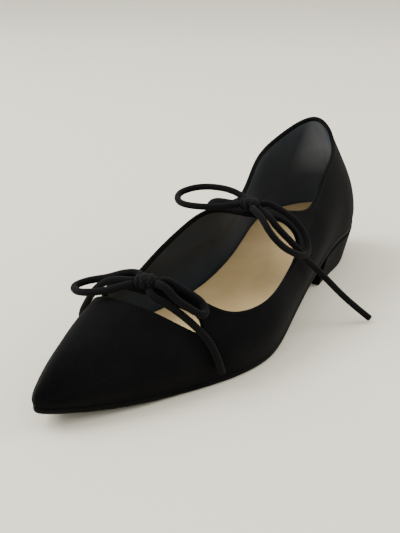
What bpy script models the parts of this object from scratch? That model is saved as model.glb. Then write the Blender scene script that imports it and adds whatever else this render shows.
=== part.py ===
"""Pointed suede flat with a keyhole vamp, an instep strap and two cord bows: one left shoe.

Metres, +Z up. The toe points along +X, the outer side of the foot is +Y, the floor is z = 0.
Every surface comes from one last: sections along the foot, each a rounded arch over the feather
line, the line where the upper meets the sole.
"""
import bmesh
import bpy
import numpy as np

MM = 0.001

# Driving dimensions
LENGTH = 250 * MM          # heel back to toe tip
BALL_WIDTH = 66.6 * MM     # feather line across the ball
INSTEP = 51.5 * MM         # crest over the floor at the instep strap
SEAT = 18 * MM             # height of the heel block
SOLE = 3 * MM              # outsole thickness
SPRING = 6.4 * MM          # rise of the toe tip over the floor
SWING = 10 * MM            # largest sideways bend of the foot's centre line, to the outer side
ARCH = 2.5 * MM            # how far the inner waist is drawn in
WALL = 1.8 * MM            # suede with its lining
INSOLE = 2.2 * MM          # covered insole board
GAP = 0.3 * MM             # clearance between neighbouring pieces
CORD = 3 * MM              # bow cord across
KNOT = np.array((9.6, 9.6, 6.0)) * MM   # a bow's knot: along, across and high

# The last: sections along the foot. along: share of LENGTH from the heel back. half: half width of
# the feather line, share of half BALL_WIDTH. swing: share of SWING. arch: share of ARCH.
# crest: height over the floor, share of INSTEP. outer and inner: exponent of each side's arch, smaller is
# boxier; the inner wall stands more upright beside the main opening.
SECTION_COLUMNS = ("along", "half", "swing", "arch", "crest", "outer", "inner")
SECTIONS = np.array([
    (0.00, 0.750, 0.00, 0.0, 1.940, 0.60, 0.60),
    (0.10, 0.766, 0.00, 0.0, 1.940, 0.60, 0.60),
    (0.20, 0.780, 0.12, 0.2, 1.790, 0.60, 0.60),
    (0.36, 0.766, 0.68, 1.0, 1.107, 0.45, 0.43),
    (0.52, 0.870, 1.00, 0.8, 1.000, 0.60, 0.30),
    (0.62, 1.000, 0.95, 0.2, 0.918, 0.80, 0.42),
    (0.72, 0.980, 0.56, 0.0, 0.839, 0.88, 0.78),
    (0.82, 0.750, 0.17, 0.0, 0.709, 0.88, 0.88),
    (0.91, 0.515, -0.02, 0.0, 0.551, 0.88, 0.96),
    (1.00, 0.286, -0.255, 0.0, 0.360, 0.88, 1.06),
])

# Lengthwise stations of the sole, shares of LENGTH
SEAT_END = 0.20            # the heel seat is level up to here
BALL_START = 0.64          # the sole lies flat from here
BALL_END = 0.76            # the toe starts to rise here
HEEL_ROUND = 0.17          # the heel's plan curve ends here
TOE_ROUND = 0.16           # length of the toe's plan curve
TOE_DROP = 0.10            # length over which the toe's top rounds down
TOE_FACE = 0.42            # part of the crest height left at the very tip
HEEL_FORM = 0.5            # the heel's back curve fades out here

# Form of the side walls and of the heel's back
SIDE_BULGE = 2.5 * MM      # the wall swells out over the feather line
BULGE_HEIGHT = 1.6         # inverse of the share of the crest that the swell takes
BACK_HEIGHT = 50 * MM      # height over the seat by which the back curve is measured
BACK_BULGE = 1.0 * MM      # the back swells behind the seat
BACK_LEAN = 18 * MM        # and leans forward to the collar
INNER_LEAN = 5 * MM        # and to the inner side
COLLAR_IN = 0.34           # the collar narrows by this share
BACK_TOP = 1.2             # the back curve goes up to here, shares of BACK_HEIGHT from here on
BULGE_END = 0.7            # the swell behind the seat ends here
LEAN_START = 0.1           # the back leans from here
LEAN_POWER = 1.2           # how late the lean sets in
NARROW_START = 0.1         # the heel narrows from here
NARROW_POWER = 1.2         # how late the narrowing sets in

# Collar line seen from the side. Columns: along, share of LENGTH, and height over the floor, share of INSTEP.
COLLAR = np.array([
    (-0.16, 2.000),
    (0.03, 1.580),
    (0.10, 1.400),
    (0.16, 1.260),
    (0.22, 1.165),
    (0.27, 1.075),
    (0.31, 0.975),
    (0.35, 0.915),
    (0.39, 0.930),
    (0.43, 0.975),
    (0.49, 1.070),
])
COLLAR_TOP = 140 * MM      # top of the space over the collar
COLLAR_REACH = 80 * MM     # half its width

# Openings cut in the arch of the upper. Columns: across, 0 on the crest and 1 on the feather line, then the
# opening's rear and front edges, shares of LENGTH. The two edges meet in the last row. On the inner side,
# the main opening's rear edge sweeps up to the instep strap.
MAIN_OUTER = np.array([
    (0.00, 0.500, 0.764),
    (0.10, 0.492, 0.761),
    (0.20, 0.472, 0.757),
    (0.32, 0.455, 0.748),
    (0.44, 0.443, 0.734),
    (0.55, 0.440, 0.715),
    (0.61, 0.455, 0.692),
    (0.64, 0.485, 0.660),
    (0.66, 0.560, 0.560),
])
MAIN_INNER = np.array([
    (0.00, 0.500, 0.764),
    (0.20, 0.530, 0.757),
    (0.33, 0.562, 0.747),
    (0.42, 0.594, 0.737),
    (0.50, 0.622, 0.725),
    (0.57, 0.644, 0.711),
    (0.62, 0.664, 0.699),
    (0.64, 0.682, 0.682),
])
KEYHOLE = np.array([
    (0.00, 0.7920, 0.8225),
    (0.20, 0.7865, 0.8170),
    (0.37, 0.7730, 0.8045),
    (0.53, 0.7540, 0.7860),
    (0.60, 0.7550, 0.7745),
    (0.64, 0.7640, 0.7640),
])
CUT_OUT = 4 * MM           # a cut reaches this far out of the surface
CUT_IN = 5 * MM            # and this far in

# Heel block
BREAST = 0.284             # front face of the heel, share of LENGTH
HEEL_TUCK = 0.90           # length of its foot over the length of its top
HEEL_TAPER = 0.87          # width of its foot over the width of its top
HEEL_INSET = 0.6 * MM      # the block stands this far inside the sole edge
SOLE_LIP = 0.6 * MM        # the sole edge shows this far outside the upper

# Bows of cord: the middles of their knots and the centre lines of their loops and tails.
# Columns: along from the heel back, across to the outer side and height over the floor, in millimetres.
KNOTS = {
    "vamp_knot": (196.6, 8.4, 42.3),
    "instep_knot": (123.4, 13.0, 55.4),
}
CORDS = {
    "vamp_loop_lateral": (
        (193.3, 12.5, 42.2), (191.7, 14.5, 42.1), (189.3, 20.2, 39.2), (187.3, 25.2, 36.2),
        (187.2, 29.6, 32.7), (190.8, 31.4, 31.6), (194.4, 28.0, 34.2), (196.4, 22.2, 38.2),
        (197.1, 16.2, 42.5), (196.9, 13.6, 42.4),
    ),
    "vamp_loop_medial": (
        (193.7, 4.1, 42.5), (192.2, 1.9, 42.6), (193.2, -4.8, 41.7), (194.2, -13.0, 38.4),
        (197.6, -19.8, 36.7), (203.2, -22.0, 36.0), (208.0, -17.5, 36.4), (208.6, -9.5, 37.9),
        (206.0, -2.4, 39.6), (202.3, 3.2, 41.5), (200.4, 4.9, 41.8),
    ),
    "vamp_tail_lateral": (
        (199.0, 11.7, 40.2), (200.3, 13.6, 39.1), (199.7, 17.4, 37.2), (196.9, 22.8, 33.3),
        (193.9, 28.9, 27.5), (191.5, 34.3, 20.8), (189.9, 37.7, 12.7), (188.3, 38.4, 6.9),
    ),
    "vamp_tail_medial": (
        (197.2, 3.3, 41.7), (197.5, 0.8, 41.4), (197.9, -7.6, 39.7), (197.6, -14.1, 35.9),
        (196.5, -19.4, 30.5), (195.0, -24.1, 24.6), (192.9, -28.8, 16.9), (190.8, -30.0, 9.3),
    ),
    "instep_loop_lateral": (
        (127.2, 16.6, 55.3), (129.0, 18.4, 55.2), (132.4, 23.6, 53.8), (136.0, 29.4, 50.0),
        (135.0, 35.4, 43.8), (129.2, 39.8, 38.8), (121.4, 41.2, 36.6), (115.6, 38.7, 39.4),
        (114.4, 34.4, 45.6), (115.8, 28.8, 51.0), (117.4, 23.2, 54.2), (118.7, 19.2, 55.6),
        (120.3, 17.2, 55.5),
    ),
    "instep_loop_medial": (
        (120.0, 9.1, 55.9), (118.3, 7.2, 56.2), (116.4, 1.0, 57.6), (116.6, -8.5, 58.4),
        (120.0, -17.5, 57.8), (127.0, -22.5, 55.8), (133.5, -18.5, 54.2), (135.2, -9.5, 54.0),
        (132.6, -0.5, 54.4), (128.8, 7.4, 55.4), (127.1, 9.2, 55.4),
    ),
    "instep_tail_lateral": (
        (123.9, 17.8, 54.1), (124.2, 20.2, 53.4), (126.2, 24.4, 52.4), (127.8, 28.8, 49.4),
        (126.0, 33.0, 44.6), (121.6, 36.2, 38.7), (115.4, 38.6, 31.6), (109.4, 42.8, 24.2),
        (103.4, 52.4, 12.6), (98.4, 64.6, 1.9),
    ),
    "instep_tail_medial": (
        (123.1, 7.8, 54.8), (123.0, 5.3, 54.5), (119.3, -10.0, 51.0), (117.1, -13.0, 45.6),
        (114.9, -14.7, 38.8), (113.0, -17.6, 30.8), (111.2, -19.2, 22.0),
    ),
}

# Mesh counts
LENGTHWISE = 44
CROSSWISE = 36
SOLE_STEPS = 40
CUT_STEPS = 12
CUT_ROWS = 8
COLLAR_STEPS = 48
KNOT_ROWS = 8
KNOT_COLUMNS = 12
CORD_STEP = 2 * CORD       # distance between the points of a cord
CORD_ROUND = 2             # roundness of a cord's section
MERGE = 0.001 * MM         # points closer than this are one point
SLOPE_STEP = 0.002         # step by which slopes of the last are taken

# Middle of the shoe's box in the last's own frame, which starts at the heel back
BOX_MIDDLE = np.array((124.83 * MM, 7.86 * MM, 0.0))

SUEDE = ("black suede", (0.008, 0.008, 0.009), 0.95)
LEATHER = ("beige leather", (0.55, 0.43, 0.29), 0.60)
SOLE_BLACK = ("black sole leather", (0.010, 0.010, 0.010), 0.55)
HEEL_BLACK = ("black covered heel", (0.009, 0.009, 0.010), 0.80)
CORD_BLACK = ("black round cord", (0.007, 0.007, 0.008), 0.85)


def smooth(knots, values, at):
    """Natural cubic spline through the knots, for outlines with an even curve."""
    step = np.diff(knots)
    rise = np.diff(values) / step
    system = np.eye(len(knots))
    bend = np.zeros(len(knots))
    for i in range(1, len(step)):
        system[i, i - 1:i + 2] = step[i - 1], 2 * (step[i - 1] + step[i]), step[i]
        bend[i] = 6 * (rise[i] - rise[i - 1])
    bend = np.linalg.solve(system, bend)
    i = np.clip(np.searchsorted(knots, at) - 1, 0, len(step) - 1)
    after = at - knots[i]
    before = knots[i + 1] - at
    cubic = (bend[i] * before ** 3 + bend[i + 1] * after ** 3) / (6 * step[i])
    start = (values[i] / step[i] - bend[i] * step[i] / 6) * before
    end = (values[i + 1] / step[i] - bend[i + 1] * step[i] / 6) * after
    return cubic + start + end


def section(column, along):
    return smooth(SECTIONS[:, 0], SECTIONS[:, SECTION_COLUMNS.index(column)], along)


def feather_height(along):
    """Height of the feather line: level seat, a fall through the waist, flat ball, toe spring."""
    fall = np.clip((along - SEAT_END) / (BALL_START - SEAT_END), 0, 1)
    rise = np.clip((along - BALL_END) / (1 - BALL_END), 0, 1)
    return SOLE + SEAT * (1 - fall ** 2 * (3 - 2 * fall)) + SPRING * rise ** 2


def end_round(along):
    """Share of the width left where the plan rounds off at heel and toe."""
    heel = np.clip(1 - along / HEEL_ROUND, 0, 1)
    toe = np.clip((along - 1 + TOE_ROUND) / TOE_ROUND, 0, 1)
    return np.sqrt(1 - heel ** 2) * np.sqrt(1 - toe ** 2)


def upper_point(along, across):
    """Point of the last: along 0 heel to 1 toe, across -1 inner feather, 0 crest, 1 outer feather."""
    along, across = np.broadcast_arrays(np.asarray(along, float), np.asarray(across, float))
    ends = end_round(along)
    drawn_in = np.where(across < 0, ARCH * section("arch", along), 0)
    half = (BALL_WIDTH / 2 * section("half", along) - drawn_in) * ends
    foot = feather_height(along)
    toe = np.clip((along - 1 + TOE_DROP) / TOE_DROP, 0, 1)
    drop = TOE_FACE + (1 - TOE_FACE) * np.sqrt(1 - toe ** 2)
    rise = (INSTEP * section("crest", along) - foot) * drop
    turn = (1 - np.abs(across)) * np.pi / 2
    up = np.sin(turn)
    swell = SIDE_BULGE * ends * np.sin(np.pi * np.clip(BULGE_HEIGHT * up, 0, 1))
    boxy = np.where(across < 0, section("inner", along), section("outer", along))
    aside = half * np.clip(np.cos(turn), 0, 1) ** boxy + swell
    z = foot + rise * up
    height = np.clip((z - SEAT - SOLE) / BACK_HEIGHT, 0, BACK_TOP)
    heel_form = (1 - np.clip(along / HEEL_FORM, 0, 1)) ** 2
    narrow = 1 - COLLAR_IN * np.clip(height - NARROW_START, 0, None) ** NARROW_POWER * np.sqrt(heel_form)
    lean = np.clip(height - LEAN_START, 0, None) ** LEAN_POWER
    back = BACK_LEAN * lean - BACK_BULGE * np.sin(np.pi * np.clip(height / BULGE_END, 0, 1))
    x = LENGTH * along + back * heel_form
    middle = SWING * section("swing", along) - INNER_LEAN * lean * heel_form
    y = middle + np.sign(across) * aside * narrow
    return np.stack([x, y, z], -1)


def upper_normal(along, across):
    """Outward direction of the last, from small steps both ways."""
    ahead = upper_point(np.clip(along + SLOPE_STEP, 0, 1), across)
    behind = upper_point(np.clip(along - SLOPE_STEP, 0, 1), across)
    forward = ahead - behind
    aside = upper_point(along, across + SLOPE_STEP) - upper_point(along, across - SLOPE_STEP)
    normal = np.cross(forward, aside)
    return normal / np.linalg.norm(normal, axis=-1, keepdims=True)


def stations(count):
    """Shares of the length from the heel, closer together at the round ends."""
    return (1 - np.cos(np.linspace(0, np.pi, count + 1))) / 2


def make_material(name, colour, roughness):
    material = bpy.data.materials.new(name)
    material.use_nodes = True
    shader = material.node_tree.nodes["Principled BSDF"]
    shader.inputs["Base Color"].default_value = (*colour, 1.0)
    shader.inputs["Roughness"].default_value = roughness
    shader.inputs["Metallic"].default_value = 0.0
    material.diffuse_color = (*colour, 1.0)
    return material


def make_object(name, points, faces, look=None, outward=True):
    """Object from points in the last's frame; doubled points at the closed ends are merged."""
    mesh = bpy.data.meshes.new(name)
    mesh.from_pydata((np.reshape(points, (-1, 3)) - BOX_MIDDLE).tolist(), [], faces)
    shape = bmesh.new()
    shape.from_mesh(mesh)
    bmesh.ops.remove_doubles(shape, verts=shape.verts, dist=MERGE)
    if outward:
        bmesh.ops.recalc_face_normals(shape, faces=shape.faces)
    shape.to_mesh(mesh)
    shape.free()
    mesh.shade_smooth()
    item = bpy.data.objects.new(name, mesh)
    bpy.context.scene.collection.objects.link(item)
    if look:
        mesh.materials.append(make_material(*look))
    return item


def grid_faces(rows, columns, around=False):
    """Quads of a grid of points; around joins the last column to the first."""
    width = columns if around else columns - 1
    faces = []
    for row in range(rows - 1):
        near = row * columns
        far = near + columns
        for column in range(width):
            beside = (column + 1) % columns
            faces.append((near + column, far + column, far + beside, near + beside))
    return faces


def make_cutter(name, points, faces):
    cutter = make_object(name, points, faces)
    cutter.hide_render = True
    cutter.display_type = 'WIRE'
    return cutter


def collar_cutter():
    """Space over the collar line: the line swept across the shoe and up."""
    places, heights = COLLAR.T
    along = np.linspace(places[0], places[-1], COLLAR_STEPS)
    x = LENGTH * along
    z = INSTEP * smooth(places, heights, along)
    top = np.full_like(z, COLLAR_TOP)
    reach = np.full_like(z, COLLAR_REACH)
    points = np.stack([
        np.stack([x, -reach, z], -1),
        np.stack([x, reach, z], -1),
        np.stack([x, reach, top], -1),
        np.stack([x, -reach, top], -1),
    ], 1)
    faces = grid_faces(len(x), 4, around=True)
    last = 4 * (len(x) - 1)
    faces += [(0, 1, 2, 3), (last, last + 3, last + 2, last + 1)]
    return make_cutter("collar_space", points, faces)


def opening_side(edges, side):
    """Across, rear and front of one side of an opening, from the crest to its round end."""
    places, rears, fronts = edges.T
    reach = places[-1]
    turn = np.linspace(0, np.pi / 2, CUT_STEPS + 1)
    knots = np.arcsin(places / reach)
    return np.stack([side * reach * np.sin(turn), smooth(knots, rears, turn), smooth(knots, fronts, turn)])


def opening_cutter(name, outer_edges, inner_edges):
    """Slab that follows the arch of the upper between an opening's rear and front edges."""
    inner = opening_side(inner_edges, -1)
    outer = opening_side(outer_edges, 1)
    across, rear, front = np.hstack([inner[:, :0:-1], outer])
    share = np.linspace(0, 1, CUT_ROWS + 1)
    along = rear[:, None] + (front - rear)[:, None] * share[None, :]
    aside = np.broadcast_to(across[:, None], along.shape)
    skin = upper_point(along, aside)
    normal = upper_normal(along, aside)
    loop = np.concatenate([skin + CUT_OUT * normal, (skin - CUT_IN * normal)[:, ::-1]], 1)
    return make_cutter(name, loop, grid_faces(len(across), loop.shape[1], around=True))


def build_upper():
    """Hollow upper: the last's surface thickened inwards, open below, cut at collar and vamp."""
    along = stations(LENGTHWISE)
    across = np.linspace(-1, 1, CROSSWISE + 1)
    points = upper_point(along[:, None], across[None, :])
    upper = make_object("upper", points, grid_faces(*points.shape[:2]), SUEDE, outward=False)
    wall = upper.modifiers.new("wall", 'SOLIDIFY')
    wall.thickness = WALL
    wall.offset = -1
    wall.use_even_offset = True
    wall.use_quality_normals = True
    cutters = (
        collar_cutter(),
        opening_cutter("main_opening", MAIN_OUTER, MAIN_INNER),
        opening_cutter("keyhole", KEYHOLE, KEYHOLE),
    )
    for cutter in cutters:
        cut = upper.modifiers.new(cutter.name, 'BOOLEAN')
        cut.operation = 'DIFFERENCE'
        cut.solver = 'EXACT'
        cut.object = cutter
    return upper


def feather_sides(offset, along):
    """Outer and inner feather lines in plan, moved outwards by offset."""
    outer = upper_point(along, 1.0)[:, :2]
    inner = upper_point(along, -1.0)[:, :2]
    ring = np.concatenate([outer, inner[-2:0:-1]])
    tangent = np.roll(ring, -1, 0) - np.roll(ring, 1, 0)
    normal = np.stack([-tangent[:, 1], tangent[:, 0]], -1)
    ring = ring + offset * normal / np.linalg.norm(normal, axis=1, keepdims=True)
    count = len(outer)
    return ring[:count], np.concatenate([ring[:1], ring[:count - 1:-1], ring[count - 1:count]])


def build_plate(name, offset, bottom, top, look):
    """Plate that follows the feather line: bottom and top are heights over that line."""
    along = stations(SOLE_STEPS)
    outer, inner = feather_sides(offset, along)
    foot = feather_height(along)[:, None]
    loops = np.stack([
        np.hstack([outer, foot + top]),
        np.hstack([outer, foot + bottom]),
        np.hstack([inner, foot + bottom]),
        np.hstack([inner, foot + top]),
    ], 1)
    return make_object(name, loops, grid_faces(len(along), 4, around=True), look)


def build_heel():
    """Low block heel: the seat's outline carried down, tucked in behind and flat on the floor."""
    whole = stations(SOLE_STEPS)
    outer, inner = feather_sides(SOLE_LIP - HEEL_INSET, whole)
    keep = whole < BREAST
    breast_x = LENGTH * BREAST
    along = np.append(whole[keep], BREAST)
    sides = []
    for line in (outer, inner):
        breast_y = np.interp(BREAST, whole, line[:, 1])
        sides.append(np.vstack([line[keep], (breast_x, breast_y)]))
    top = (feather_height(along) - SOLE - GAP)[:, None]
    floor = np.zeros_like(top)
    shrink = np.array((HEEL_TUCK, HEEL_TAPER))
    pivot = np.array((breast_x, 0.0))
    feet = [pivot + (side - pivot) * shrink for side in sides]
    loops = np.stack([
        np.hstack([sides[0], top]),
        np.hstack([feet[0], floor]),
        np.hstack([feet[1], floor]),
        np.hstack([sides[1], top]),
    ], 1)
    last = 4 * (len(along) - 1)
    faces = grid_faces(len(along), 4, around=True) + [(last, last + 3, last + 2, last + 1)]
    return make_object("heel", loops, faces, HEEL_BLACK)


def build_knot(name, middle):
    """Knot of a bow: a rounded lump with three different half sizes."""
    polar = np.linspace(0, np.pi, KNOT_ROWS + 1)[:, None]
    around = np.linspace(0, 2 * np.pi, KNOT_COLUMNS, endpoint=False)[None, :]
    ball = np.stack(np.broadcast_arrays(
        np.sin(polar) * np.cos(around),
        np.sin(polar) * np.sin(around),
        np.cos(polar),
    ), -1)
    points = np.array(middle) * MM + ball * KNOT / 2
    return make_object(name, points, grid_faces(*points.shape[:2], around=True), CORD_BLACK)


def cord_line(route):
    """Even points on one smooth curve through a route's own points."""
    points = np.array(route) * MM
    knots = np.append(0, np.cumsum(np.linalg.norm(np.diff(points, axis=0), axis=1)))
    at = np.linspace(0, knots[-1], round(knots[-1] / CORD_STEP) + 1)
    return np.stack([smooth(knots, values, at) for values in points.T], -1)


def build_cord(name, route):
    """Loop or tail of a bow: a round cord along its route."""
    curve = bpy.data.curves.new(name, 'CURVE')
    curve.dimensions = '3D'
    curve.bevel_depth = CORD / 2
    curve.bevel_resolution = CORD_ROUND
    curve.use_fill_caps = True
    line = cord_line(route) - BOX_MIDDLE
    spline = curve.splines.new('POLY')
    spline.points.add(len(line) - 1)
    for point, place in zip(spline.points, line):
        point.co = (*place, 1.0)
    item = bpy.data.objects.new(name, curve)
    bpy.context.scene.collection.objects.link(item)
    curve.materials.append(make_material(*CORD_BLACK))
    return item


def main():
    for item in list(bpy.data.objects):
        bpy.data.objects.remove(item, do_unlink=True)
    build_upper()
    build_plate("outsole", SOLE_LIP, -SOLE, -GAP, SOLE_BLACK)
    build_plate("insole", -WALL - 2 * GAP, 0.0, INSOLE, LEATHER)
    build_heel()
    for name, middle in KNOTS.items():
        build_knot(name, middle)
    for name, route in CORDS.items():
        build_cord(name, route)


main()
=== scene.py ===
# %% [markdown]
# # A black suede flat with two cord bows
# This lesson dresses the plain solids of one left shoe: a pointed flat in black suede with a keyhole
# across the vamp, a strap over the instep, and a small cord bow on each strap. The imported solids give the
# sizes and the places. Everything that shows is a surface worked out with numpy in the same frame: metres,
# +X to the toe, +Y to the outer side of the foot, the floor at z = 0.

import bmesh
import bpy
import numpy as np
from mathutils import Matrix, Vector


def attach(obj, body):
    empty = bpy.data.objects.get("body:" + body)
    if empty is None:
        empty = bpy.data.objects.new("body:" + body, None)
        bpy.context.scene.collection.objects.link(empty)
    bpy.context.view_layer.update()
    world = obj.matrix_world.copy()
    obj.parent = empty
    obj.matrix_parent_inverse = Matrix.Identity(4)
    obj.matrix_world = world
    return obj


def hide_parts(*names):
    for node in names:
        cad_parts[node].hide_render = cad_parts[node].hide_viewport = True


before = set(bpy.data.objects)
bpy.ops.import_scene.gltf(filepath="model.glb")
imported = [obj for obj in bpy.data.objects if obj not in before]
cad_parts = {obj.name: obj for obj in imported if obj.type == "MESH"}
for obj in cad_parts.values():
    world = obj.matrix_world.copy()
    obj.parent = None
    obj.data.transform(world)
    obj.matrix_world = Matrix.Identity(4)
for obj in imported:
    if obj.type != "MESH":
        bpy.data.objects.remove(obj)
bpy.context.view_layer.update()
MM = 0.001
print("nodes:", ", ".join(sorted(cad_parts)))

# %% [markdown]
# ## Camera
# The view is that of a person who holds a phone beside the toe and looks about 21 degrees down. The eye
# stays at the place that was fitted to the photograph, because the place of the eye alone decides what
# hides what. A longer lens then frames the one shoe.

# %% Camera
EYE = (0.3062, 0.1759, 0.1628)      # m
AIM = (0.0102, -0.0140, 0.0251)
LENS = 54.9                 # mm, on a frame whose long side is SENSOR
SENSOR = 36.0


def add_facing(name, data, place, target):
    """Object at a place that looks at a target, as a camera or a lamp does."""
    made = bpy.data.objects.new(name, data)
    made.location = place
    made.rotation_mode = 'QUATERNION'
    made.rotation_quaternion = (Vector(target) - Vector(place)).to_track_quat('-Z', 'Y')
    bpy.context.scene.collection.objects.link(made)
    return made


camera_data = bpy.data.cameras.new("camera")
camera_data.lens = LENS
camera_data.sensor_width = SENSOR
bpy.context.scene.camera = add_facing("camera", camera_data, EYE, AIM)
print("camera to shoe: %.3f m" % (Vector(AIM) - Vector(EYE)).length)

# %% [markdown]
# ## Helpers for meshes and nodes
# A grid of points becomes a mesh in one call. One function adds a shader node with its settings and links,
# and one function turns the hex colours that people write down into the linear values that shaders use.

# %% Mesh helpers
WELD = 0.02 * MM            # points closer than this are one point


def add_piece(name, mesh, material):
    """Object at the origin with a mesh and a material, riding on the shoe's one body."""
    mesh.materials.append(material)
    piece = bpy.data.objects.new(name, mesh)
    bpy.context.scene.collection.objects.link(piece)
    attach(piece, "root")
    print("%s: %d faces" % (name, len(mesh.polygons)))
    return piece


def make_piece(name, points, faces, material):
    """Piece from points and faces: doubled points are welded and faces are turned outwards."""
    mesh = bpy.data.meshes.new(name)
    mesh.from_pydata(np.reshape(points, (-1, 3)).tolist(), [], faces.tolist())
    shape = bmesh.new()
    shape.from_mesh(mesh)
    bmesh.ops.remove_doubles(shape, verts=shape.verts, dist=WELD)
    bmesh.ops.dissolve_degenerate(shape, edges=shape.edges, dist=WELD)
    bmesh.ops.recalc_face_normals(shape, faces=shape.faces)
    shape.to_mesh(mesh)
    shape.free()
    mesh.shade_smooth()
    return add_piece(name, mesh, material)


def grid_quads(rows, columns, ring=False, loop=False):
    """Quads of a rows x columns grid: ring joins the last column to the first, loop the last row."""
    row = np.arange(rows if loop else rows - 1)[:, None]
    column = np.arange(columns if ring else columns - 1)[None, :]
    beside = (column + 1) % columns
    near = row * columns
    far = (row + 1) % rows * columns
    corners = (near + column, far + column, far + beside, near + beside)
    return np.stack(np.broadcast_arrays(*corners), -1).reshape(-1, 4)


def split_quads(quads):
    """Each quad as two triangles."""
    return np.concatenate([quads[:, [0, 1, 2]], quads[:, [0, 2, 3]]])


def unit(vectors):
    """The vectors, each made one long."""
    return vectors / np.linalg.norm(vectors, axis=-1, keepdims=True)


def distances(points):
    """Distance of each point from the first, along the line of points."""
    return np.append(0, np.cumsum(np.linalg.norm(np.diff(points, axis=0), axis=1)))


def crowd_ends(count):
    """Shares from 0 to 1 in count steps, closer together at both ends, where shapes turn fastest."""
    return (1 - np.cos(np.linspace(0, np.pi, count + 1))) / 2


# %% Node helpers
COLOUR_MIX = {"data_type": 'RGBA'}


def hex_colour(text):
    """sRGB hex, such as 'c8b490', to a linear RGBA tuple."""
    value = np.array([int(text[i:i + 2], 16) for i in (0, 2, 4)]) / 255
    linear = np.where(value <= 0.04045, value / 12.92, ((value + 0.055) / 1.055) ** 2.4)
    return (*linear.tolist(), 1.0)


def add_node(tree, kind, settings=None, inputs=None):
    """Adds a node. settings are its properties; inputs are values, or (node, output) pairs to link."""
    made = tree.nodes.new(kind)
    for key, value in (settings or {}).items():
        setattr(made, key, value)
    for key, value in (inputs or {}).items():
        if isinstance(value, tuple) and len(value) == 2 and hasattr(value[0], "outputs"):
            tree.links.new(value[0].outputs[value[1]], made.inputs[key])
        else:
            made.inputs[key].default_value = value
    return made


def start_material(name, **sockets):
    """New material: its node tree, its shader with constant socket values, and Object coordinates."""
    material = bpy.data.materials.new(name)
    material.use_nodes = True
    tree = material.node_tree
    shader = tree.nodes["Principled BSDF"]
    for key, value in sockets.items():
        shader.inputs[key.replace("_", " ")].default_value = value
    return material, tree, shader, add_node(tree, "ShaderNodeTexCoord")


def dress(tree, shader, colour, height, depth, strength):
    """Gives the shader the colour of a mix node, and a bump from a (node, output) pair. Depth in m."""
    bump = add_node(tree, "ShaderNodeBump", None, {
        "Height": height, "Distance": depth, "Strength": strength})
    tree.links.new(colour.outputs["Result"], shader.inputs["Base Color"])
    tree.links.new(bump.outputs["Normal"], shader.inputs["Normal"])


def per_mm(size):
    """Noise scale, in cycles per metre, for a pattern whose grain is size mm across."""
    return 1 / (size * MM)


# %% [markdown]
# ## Black suede
# Suede is the brushed flesh side of leather. Its short fibres scatter light, so it has no clear highlight,
# it looks a little paler where it is seen edge-on, and strokes of the hand leave soft paler and darker
# patches. A real fibre is a tenth of a millimetre; here the nap is drawn ten times as coarse so that it
# shows in a picture of the whole shoe.

# %% Suede
SUEDE_DARK = hex_colour("060607")
SUEDE_PALE = hex_colour("0f0f10")
STROKE = 22.0               # mm, patches left by the hand
NAP = 1.1                   # mm, tufts of fibre
NAP_DEPTH = 0.10 * MM
NAP_STRENGTH = 0.6
TUFT_SHARE = 0.5            # weight of the tufts beside that of the strokes
PALE_RUN = (0.50, 1.0)      # sum of both, from all dark to all pale


def suede_material(name):
    """Brushed suede: stroke patches and tufts mix two blacks, and the tufts give a fine bump."""
    material, tree, shader, place = start_material(
        name, Roughness=0.95, IOR=1.45, Specular_IOR_Level=0.05, Sheen_Weight=0.02, Sheen_Roughness=0.45)
    at = (place, "Object")
    stroke = add_node(tree, "ShaderNodeTexNoise", None, {
        "Vector": at, "Scale": per_mm(STROKE), "Detail": 3.0})
    tufts = add_node(tree, "ShaderNodeTexNoise", None, {
        "Vector": at, "Scale": per_mm(NAP), "Detail": 4.0})
    both = add_node(tree, "ShaderNodeMath", {"operation": 'MULTIPLY_ADD'}, {
        0: (tufts, "Fac"), 1: TUFT_SHARE, 2: (stroke, "Fac")})
    share = add_node(tree, "ShaderNodeMapRange", None, {
        "Value": (both, "Value"), "From Min": PALE_RUN[0], "From Max": PALE_RUN[1]})
    colour = add_node(tree, "ShaderNodeMix", COLOUR_MIX, {
        "Factor": (share, "Result"), "A": SUEDE_DARK, "B": SUEDE_PALE})
    dress(tree, shader, colour, (tufts, "Fac"), NAP_DEPTH, NAP_STRENGTH)
    return material


suede = suede_material("black suede, brushed")
heel_suede = suede_material("black suede over the heel block")
print("suede: nap %.1f mm, strokes %.0f mm" % (NAP, STROKE))

# %% [markdown]
# ## Lining, insole and sole leather
# The insole is beige vegetable-tanned leather with fine pores. The sole edge is leather, dyed black and
# waxed. The lining is smooth leather, grey in the quarters and darkened to nearly black in the vamp by
# painted shade. High at the back of the heel a painted sheen makes it paler.

# %% Patterns of leather
CLOUD_RUN = (0.35, 0.65)    # stretch of the noise that the clouds spread over
GRAIN_STRENGTH = 0.5


def add_clouds(tree, at, size):
    """Soft patches, size mm across, as a node whose Result runs from 0 to 1."""
    noise = add_node(tree, "ShaderNodeTexNoise", None, {
        "Vector": at, "Scale": per_mm(size), "Detail": 4.0})
    return add_node(tree, "ShaderNodeMapRange", None, {
        "Value": (noise, "Fac"), "From Min": CLOUD_RUN[0], "From Max": CLOUD_RUN[1]})


def dress_leather(tree, shader, at, colour, grain, depth):
    """Gives the shader a colour and the cell-shaped grain of leather, its size and depth in mm."""
    pores = add_node(tree, "ShaderNodeTexVoronoi", {"feature": 'SMOOTH_F1'}, {
        "Vector": at, "Scale": per_mm(grain)})
    dress(tree, shader, colour, (pores, "Distance"), depth * MM, GRAIN_STRENGTH)


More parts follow.
